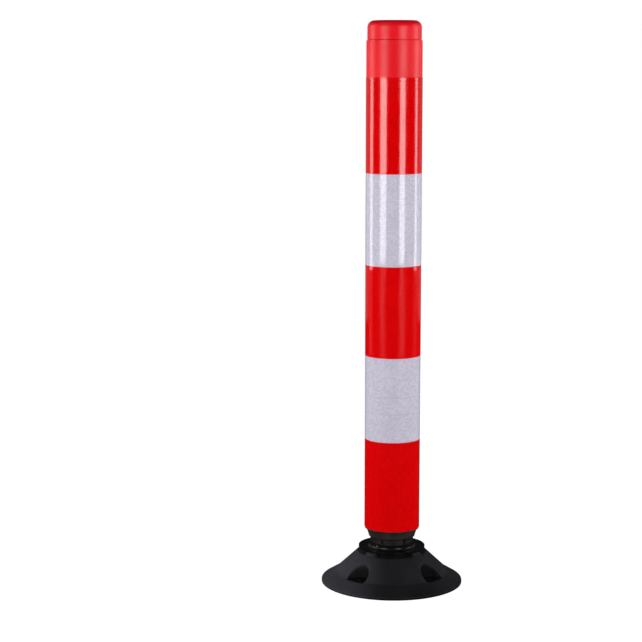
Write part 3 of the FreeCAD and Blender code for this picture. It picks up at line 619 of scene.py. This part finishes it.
def collar_radius(height):
    """Collar's side: a straight flare between its two ends, hollowed by a shallow parabola."""
    t = (height - COLLAR_FOOT[1]) / (COLLAR_TOP[1] - COLLAR_FOOT[1])
    return COLLAR_FOOT[0] + (COLLAR_TOP[0] - COLLAR_FOOT[0]) * t - COLLAR_HOLLOW * t * (1 - t)


def lower_neck():
    """From the split down: the collar's foot with its rounded lip, the waist, the spigot."""
    bearing = np.linspace(0, 2 * np.pi, NECK_COLUMNS, endpoint=False)[None, :]
    lip_radius = collar_radius(SPLIT_HEIGHT)
    lip = np.array([[0.020, SPLIT_HEIGHT - SPLIT_HOLLOW], [0.036, SPLIT_HEIGHT - SPLIT_HOLLOW],
                    [lip_radius, SPLIT_HEIGHT], [collar_radius(0.0854), 0.0854],
                    [0.04125, 0.0850], [0.04105, 0.0847], [0.04070, 0.0846],
                    [WAIST_RADIUS + 0.0003, 0.0846]])
    shoulder = stacked(lip[:, :1], lip[:, 1:], NECK_COLUMNS)
    height = np.linspace(0.0843, HUB_TOP + 0.0008, 16)[:, None]
    waist = stacked(waist_radius(bearing, height), height, NECK_COLUMNS)
    foot = np.array([[WAIST_RADIUS - 0.0002, HUB_TOP + 0.0004],
                     [WAIST_RADIUS - 0.0006, HUB_TOP + 0.0002],
                     [SPIGOT_RADIUS, HUB_TOP + 0.0002], [SPIGOT_RADIUS, neck_low + 0.0003],
                     [SPIGOT_RADIUS - 0.0003, neck_low], [0.016, neck_low]])
    return np.concatenate([shoulder, waist, stacked(foot[:, :1], foot[:, 1:], NECK_COLUMNS)])


def upper_neck():
    """From the plate down: the flange with rounded edges, the flaring collar, the split."""
    crown = np.array([[0.016, neck_high - 0.0007], [0.0329, neck_high - 0.0007], [0.0333, neck_high],
                      [FLANGE_RADIUS - 0.0004, neck_high], [FLANGE_RADIUS, neck_high - 0.0004],
                      [FLANGE_RADIUS, 0.1001], [FLANGE_RADIUS - 0.0003, 0.0995],
                      [FLANGE_RADIUS - 0.0010, 0.0990], [FLANGE_RADIUS - 0.0019, 0.0986]])
    height = np.linspace(COLLAR_TOP[1], SPLIT_HEIGHT, 16)
    collar = np.stack([collar_radius(height), height], axis=-1)
    split = [[0.036, SPLIT_HEIGHT + SPLIT_HOLLOW], [0.020, SPLIT_HEIGHT + SPLIT_HOLLOW]]
    profile = np.vstack([crown, collar, split])
    return stacked(profile[:, :1], profile[:, 1:], NECK_COLUMNS)


def neck_rubber(name, painted_lightness):
    """Brownish black rubber with faint upright mould marks; the second argument scales all its
    tones down, and a low value paints shade.
    """
    material = plain_finish(name, (0.012, 0.010, 0.009), 0.42, 0.3)
    paleness = add_noise(material, 70.0, 5.0)
    tones = ((0.30, (0.008, 0.0069, 0.0064)), (0.60, (0.017, 0.0146, 0.0132)),
             (0.80, (0.026, 0.0228, 0.0210)))
    add_colours(material, paleness, [(at, tuple(painted_lightness * part for part in tone)) for at, tone in tones])
    add_roughness(material, add_noise(material, 120.0, 4.0), 0.36, 0.54)
    add_bumps(material, [(add_noise(material, 600.0, 2.0), 0.00005),
                         (add_noise(material, 90.0, 3.0, (1.0, 1.0, 0.15)), 0.00010)])
    return material


neck_base = ring_surface("flex_neck_waist", lower_neck())
neck_collar = ring_surface("flex_neck_collar", upper_neck())
# The waist's tones are 0.35 of the collar's: painted shade under the collar and the lock plate.
for half, painted_lightness in ((neck_base, 0.35), (neck_collar, 1.0)):
    sharpen(half, 35)
    half.data.materials.append(neck_rubber(half.name, painted_lightness))
    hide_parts("flex_neck")
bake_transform(neck_base)
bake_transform(neck_collar)


# ---- Tube and cap ------------------------------------------------------------------------
# An extruded tube of red polyurethane, filled through and through, on a nylon plug that four
# countersunk screws hold. A push-in cap of the same plastic closes the top. Both have the
# satin skin of the die, with faint upright draw lines and light scuffs.
def red_plastic(name, offset):
    """Satin red plastic; offset moves the scuffs so that two pieces don't share them."""
    material = plain_finish(name, (0.50, 0.001, 0.003), 0.36, 0.24)
    cloud = add_noise(material, 9.0, 5.0, offset=offset)
    add_colours(material, cloud, [(0.30, (0.42, 0.0004, 0.0042)), (0.55, (0.46, 0.0008, 0.0056)),
                                  (0.80, (0.50, 0.0025, 0.0085))])
    drawn = add_noise(material, 220.0, 3.0, (1.0, 1.0, 0.02), offset)
    scuffs = add_noise(material, 55.0, 7.0, offset=offset)
    add_roughness(material, scuffs, 0.33, 0.41)
    add_bumps(material, [(drawn, 0.00004), (add_noise(material, 1100.0, 2.0, offset=offset), 0.00002)])
    return material


dress("tube", red_plastic("tube_plastic", (0.0, 0.0, 0.0)))
dress("cap", red_plastic("cap_plastic", (0.4, 0.2, 0.7)))
dress("tube_plug", hard_nylon)
for fastener in ("upper_plate", "upper_screws", "upper_washers", "plug_screws"):
    dress(fastener, steel)


# ---- Reflective film ---------------------------------------------------------------------
# Five wrapped bands of microprismatic sheeting, red and white by turns. The sheet is embossed
# with six-sided cells, each a small flat window sealed at its rim, and every band's end laps
# over its start down the back. Cells are cut off straight at a band's edges and tile seams.
FILM_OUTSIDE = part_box("film_red_top")[1][0]
CELLS_AROUND = 80
CELL_RIM = 0.00018
RIM_DROP = 0.00002
CELL_STANDS = 0.00022
CELL_CORNERS = 6
CELL_POINTS = 3 * CELL_CORNERS
SEAM_GAP = 0.00028
LAP_COLUMNS = 3
LAP_BEARING = 62.0
LAP_RISE = 0.00025
cell_turn = 2 * math.pi / CELLS_AROUND
cell_pitch = 2 * math.pi * FILM_OUTSIDE / CELLS_AROUND
row_pitch = cell_pitch * math.sqrt(3) / 2


def hexagon_cells(bottom, top, columns, first_row, radius):
    """Closed six-sided plates of one tile of film, as (points, faces, how many plates).

    A plate stands at every pitch around and in every row up, and odd rows are turned by half a
    pitch. Its corners lie at 30, 90, ... degrees, and each of its three layers is flat: back,
    lowered rim and window. Heights are clipped to the tile, so that plates at its edges are cut
    straight.
    """
    rows = np.arange(math.floor(bottom / row_pitch), math.ceil(top / row_pitch) + 1)
    column, row = np.meshgrid(columns, rows)
    bearing = (column + 0.5 * (row % 2)) * cell_turn + math.radians(LAP_BEARING)
    middle = row * row_pitch
    kept = (middle - 0.42 * cell_pitch < top) & (middle + 0.42 * cell_pitch > bottom)
    bearing, middle = bearing[kept], middle[kept]
    corner = np.radians(30 + 60 * np.arange(CELL_CORNERS))
    reach = cell_pitch / math.sqrt(3) - SEAM_GAP / 2
    layers = [(reach, radius - CELL_STANDS, 0.0), (reach, radius - RIM_DROP, 0.0),
              (reach - CELL_RIM, radius, CELL_RIM)]
    shells = []
    for size, stand, inset in layers:
        along = size * np.cos(corner)
        height = np.clip(middle[:, None] + size * np.sin(corner), bottom + inset, top - inset)
        x = stand * np.cos(bearing)[:, None] - along * np.sin(bearing)[:, None]
        y = stand * np.sin(bearing)[:, None] + along * np.cos(bearing)[:, None]
        shells.append(np.stack([x, y, height], axis=-1))
    points = np.stack(shells, axis=1).reshape(-1, 3)
    around = np.arange(CELL_CORNERS)
    turned = np.roll(around, -1)
    side = np.stack([around, turned, turned + CELL_CORNERS, around + CELL_CORNERS], axis=-1)
    start = first_row + CELL_POINTS * np.arange(len(middle))[:, None, None]
    quads = (np.vstack([side, side + CELL_CORNERS])[None] + start).reshape(-1, 4)
    caps = np.stack([around[::-1], 2 * CELL_CORNERS + around])[None] + start
    faces = quads.tolist() + caps.reshape(-1, CELL_CORNERS).tolist()
    return points, faces, len(middle)


def backing(bottom, top, radius):
    """Thin closed sleeve under the cells, between the film's bore and the cells' backs."""
    bore = radius - CELL_STANDS - 0.00012
    face = radius - CELL_STANDS + 0.00002
    profile = np.array([[bore, top], [face, top], [face, bottom], [bore, bottom]])
    return stacked(profile[:, :1], profile[:, 1:], 240)


def add_cells(name, tiles, columns, radius):
    """One mesh of all the cells of a band, with a random shade for each cell."""
    points, faces, cells = [], [], 0
    for bottom, top in tiles:
        first = CELL_POINTS * cells
        tile_points, tile_faces, count = hexagon_cells(bottom, top, columns, first, radius)
        points.append(tile_points)
        faces += tile_faces
        cells += count
    piece = new_piece(name, np.vstack(points).tolist(), faces)
    shade = np.repeat(np.random.default_rng(7).random(cells), CELL_POINTS)
    piece.data.attributes.new("cell_shade", "FLOAT", "POINT").data.foreach_set("value", shade)
    return piece


def lap_strip(name, bottom, top):
    """Closed thin slab under the lap's cells: a curved strip a few cells wide."""
    start = math.radians(LAP_BEARING) - 0.4 * cell_turn
    end = start + (LAP_COLUMNS + 0.2) * cell_turn
    bearing = np.linspace(start, end, 13)
    inner, outer = FILM_OUTSIDE - CELL_STANDS, FILM_OUTSIDE + LAP_RISE - CELL_STANDS
    corners = [(inner, top), (outer, top), (outer, bottom), (inner, bottom)]
    points = np.array([[(r * math.cos(b), r * math.sin(b), z) for r, z in corners] for b in bearing])
    index = np.arange(points.shape[0] * 4).reshape(-1, 4)
    quads = np.stack([index[:-1], np.roll(index, -1, axis=1)[:-1], np.roll(index, -1, axis=1)[1:],
                      index[1:]], axis=-1).reshape(-1, 4).tolist()
    ends = [index[0, ::-1].tolist(), index[-1].tolist()]
    return new_piece(name, points.reshape(-1, 3).tolist(), quads + ends)


def film_finish(name, dark, light, roughness):
    """Clear glossy sheet over prisms: each cell a shade of its own, with a fine prism grain."""
    material = plain_finish(name, light, roughness, 0.5)
    nodes, links = material.node_tree.nodes, material.node_tree.links
    shade = nodes.new("ShaderNodeAttribute")
    shade.attribute_name = "cell_shade"
    add_colours(material, shade.outputs["Fac"], [(0.0, dark), (1.0, light)])
    add_roughness(material, add_noise(material, 40.0, 6.0), roughness, roughness + 0.03)
    add_bumps(material, [(add_noise(material, 1600.0, 1.0), 0.0000004)])
    return material


def film_backing_finish(name, colour):
    """The sealed seams between cells: the same sheet, duller and a little darker."""
    material = plain_finish(name, colour, 0.5, 0.1)
    grime = add_noise(material, 30.0, 6.0)
    add_colours(material, grime, [(0.3, tuple(0.75 * part for part in colour)), (0.7, colour)])
    add_bumps(material, [(add_noise(material, 800.0, 2.0), 0.00002)])
    return material


FILM_COLOURS = {
    "red": (film_finish("red_film", (0.39, 0.0, 0.0004), (0.46, 0.0003, 0.0010), 0.02),
            film_backing_finish("red_film_seams", (0.36, 0.001, 0.002))),
    "white": (film_finish("white_film", (0.32, 0.305, 0.365), (0.38, 0.362, 0.43), 0.025),
              film_backing_finish("white_film_seams", (0.25, 0.24, 0.29))),
}
TILE_SEAMS = {"film_red_top": [0.8795], "film_white_lower": [0.3137, 0.3442]}


def wrap_band(node, colour):
    """One band: cells tile by tile, their backing, and the lap down the back."""
    bottom, top = (corner[2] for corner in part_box(node))
    cuts = [bottom, *TILE_SEAMS.get(node, []), top]
    half_gap = SEAM_GAP / 2
    tiles = [(low + half_gap, high - half_gap) for low, high in zip(cuts, cuts[1:])]
    cells, seams = FILM_COLOURS[colour]
    all_columns, lap_columns = np.arange(CELLS_AROUND), np.arange(LAP_COLUMNS)
    parts = [
        (add_cells(node + "_cells", tiles, all_columns, FILM_OUTSIDE), cells),
        (ring_surface(node + "_backing", backing(bottom, top, FILM_OUTSIDE), loop=True), seams),
        (add_cells(node + "_lap", tiles, lap_columns, FILM_OUTSIDE + LAP_RISE), cells),
        (lap_strip(node + "_lap_backing", bottom, top), seams),
    ]
    for piece, material in parts:
        if piece.name.endswith("backing"):
            sharpen(piece, 30)
        piece.data.materials.append(material)
        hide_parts(node)
        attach(piece, "post")


for node in sorted(frame["nodes"]):
    if node.startswith("film_"):
        wrap_band(node, node.split("_")[1])
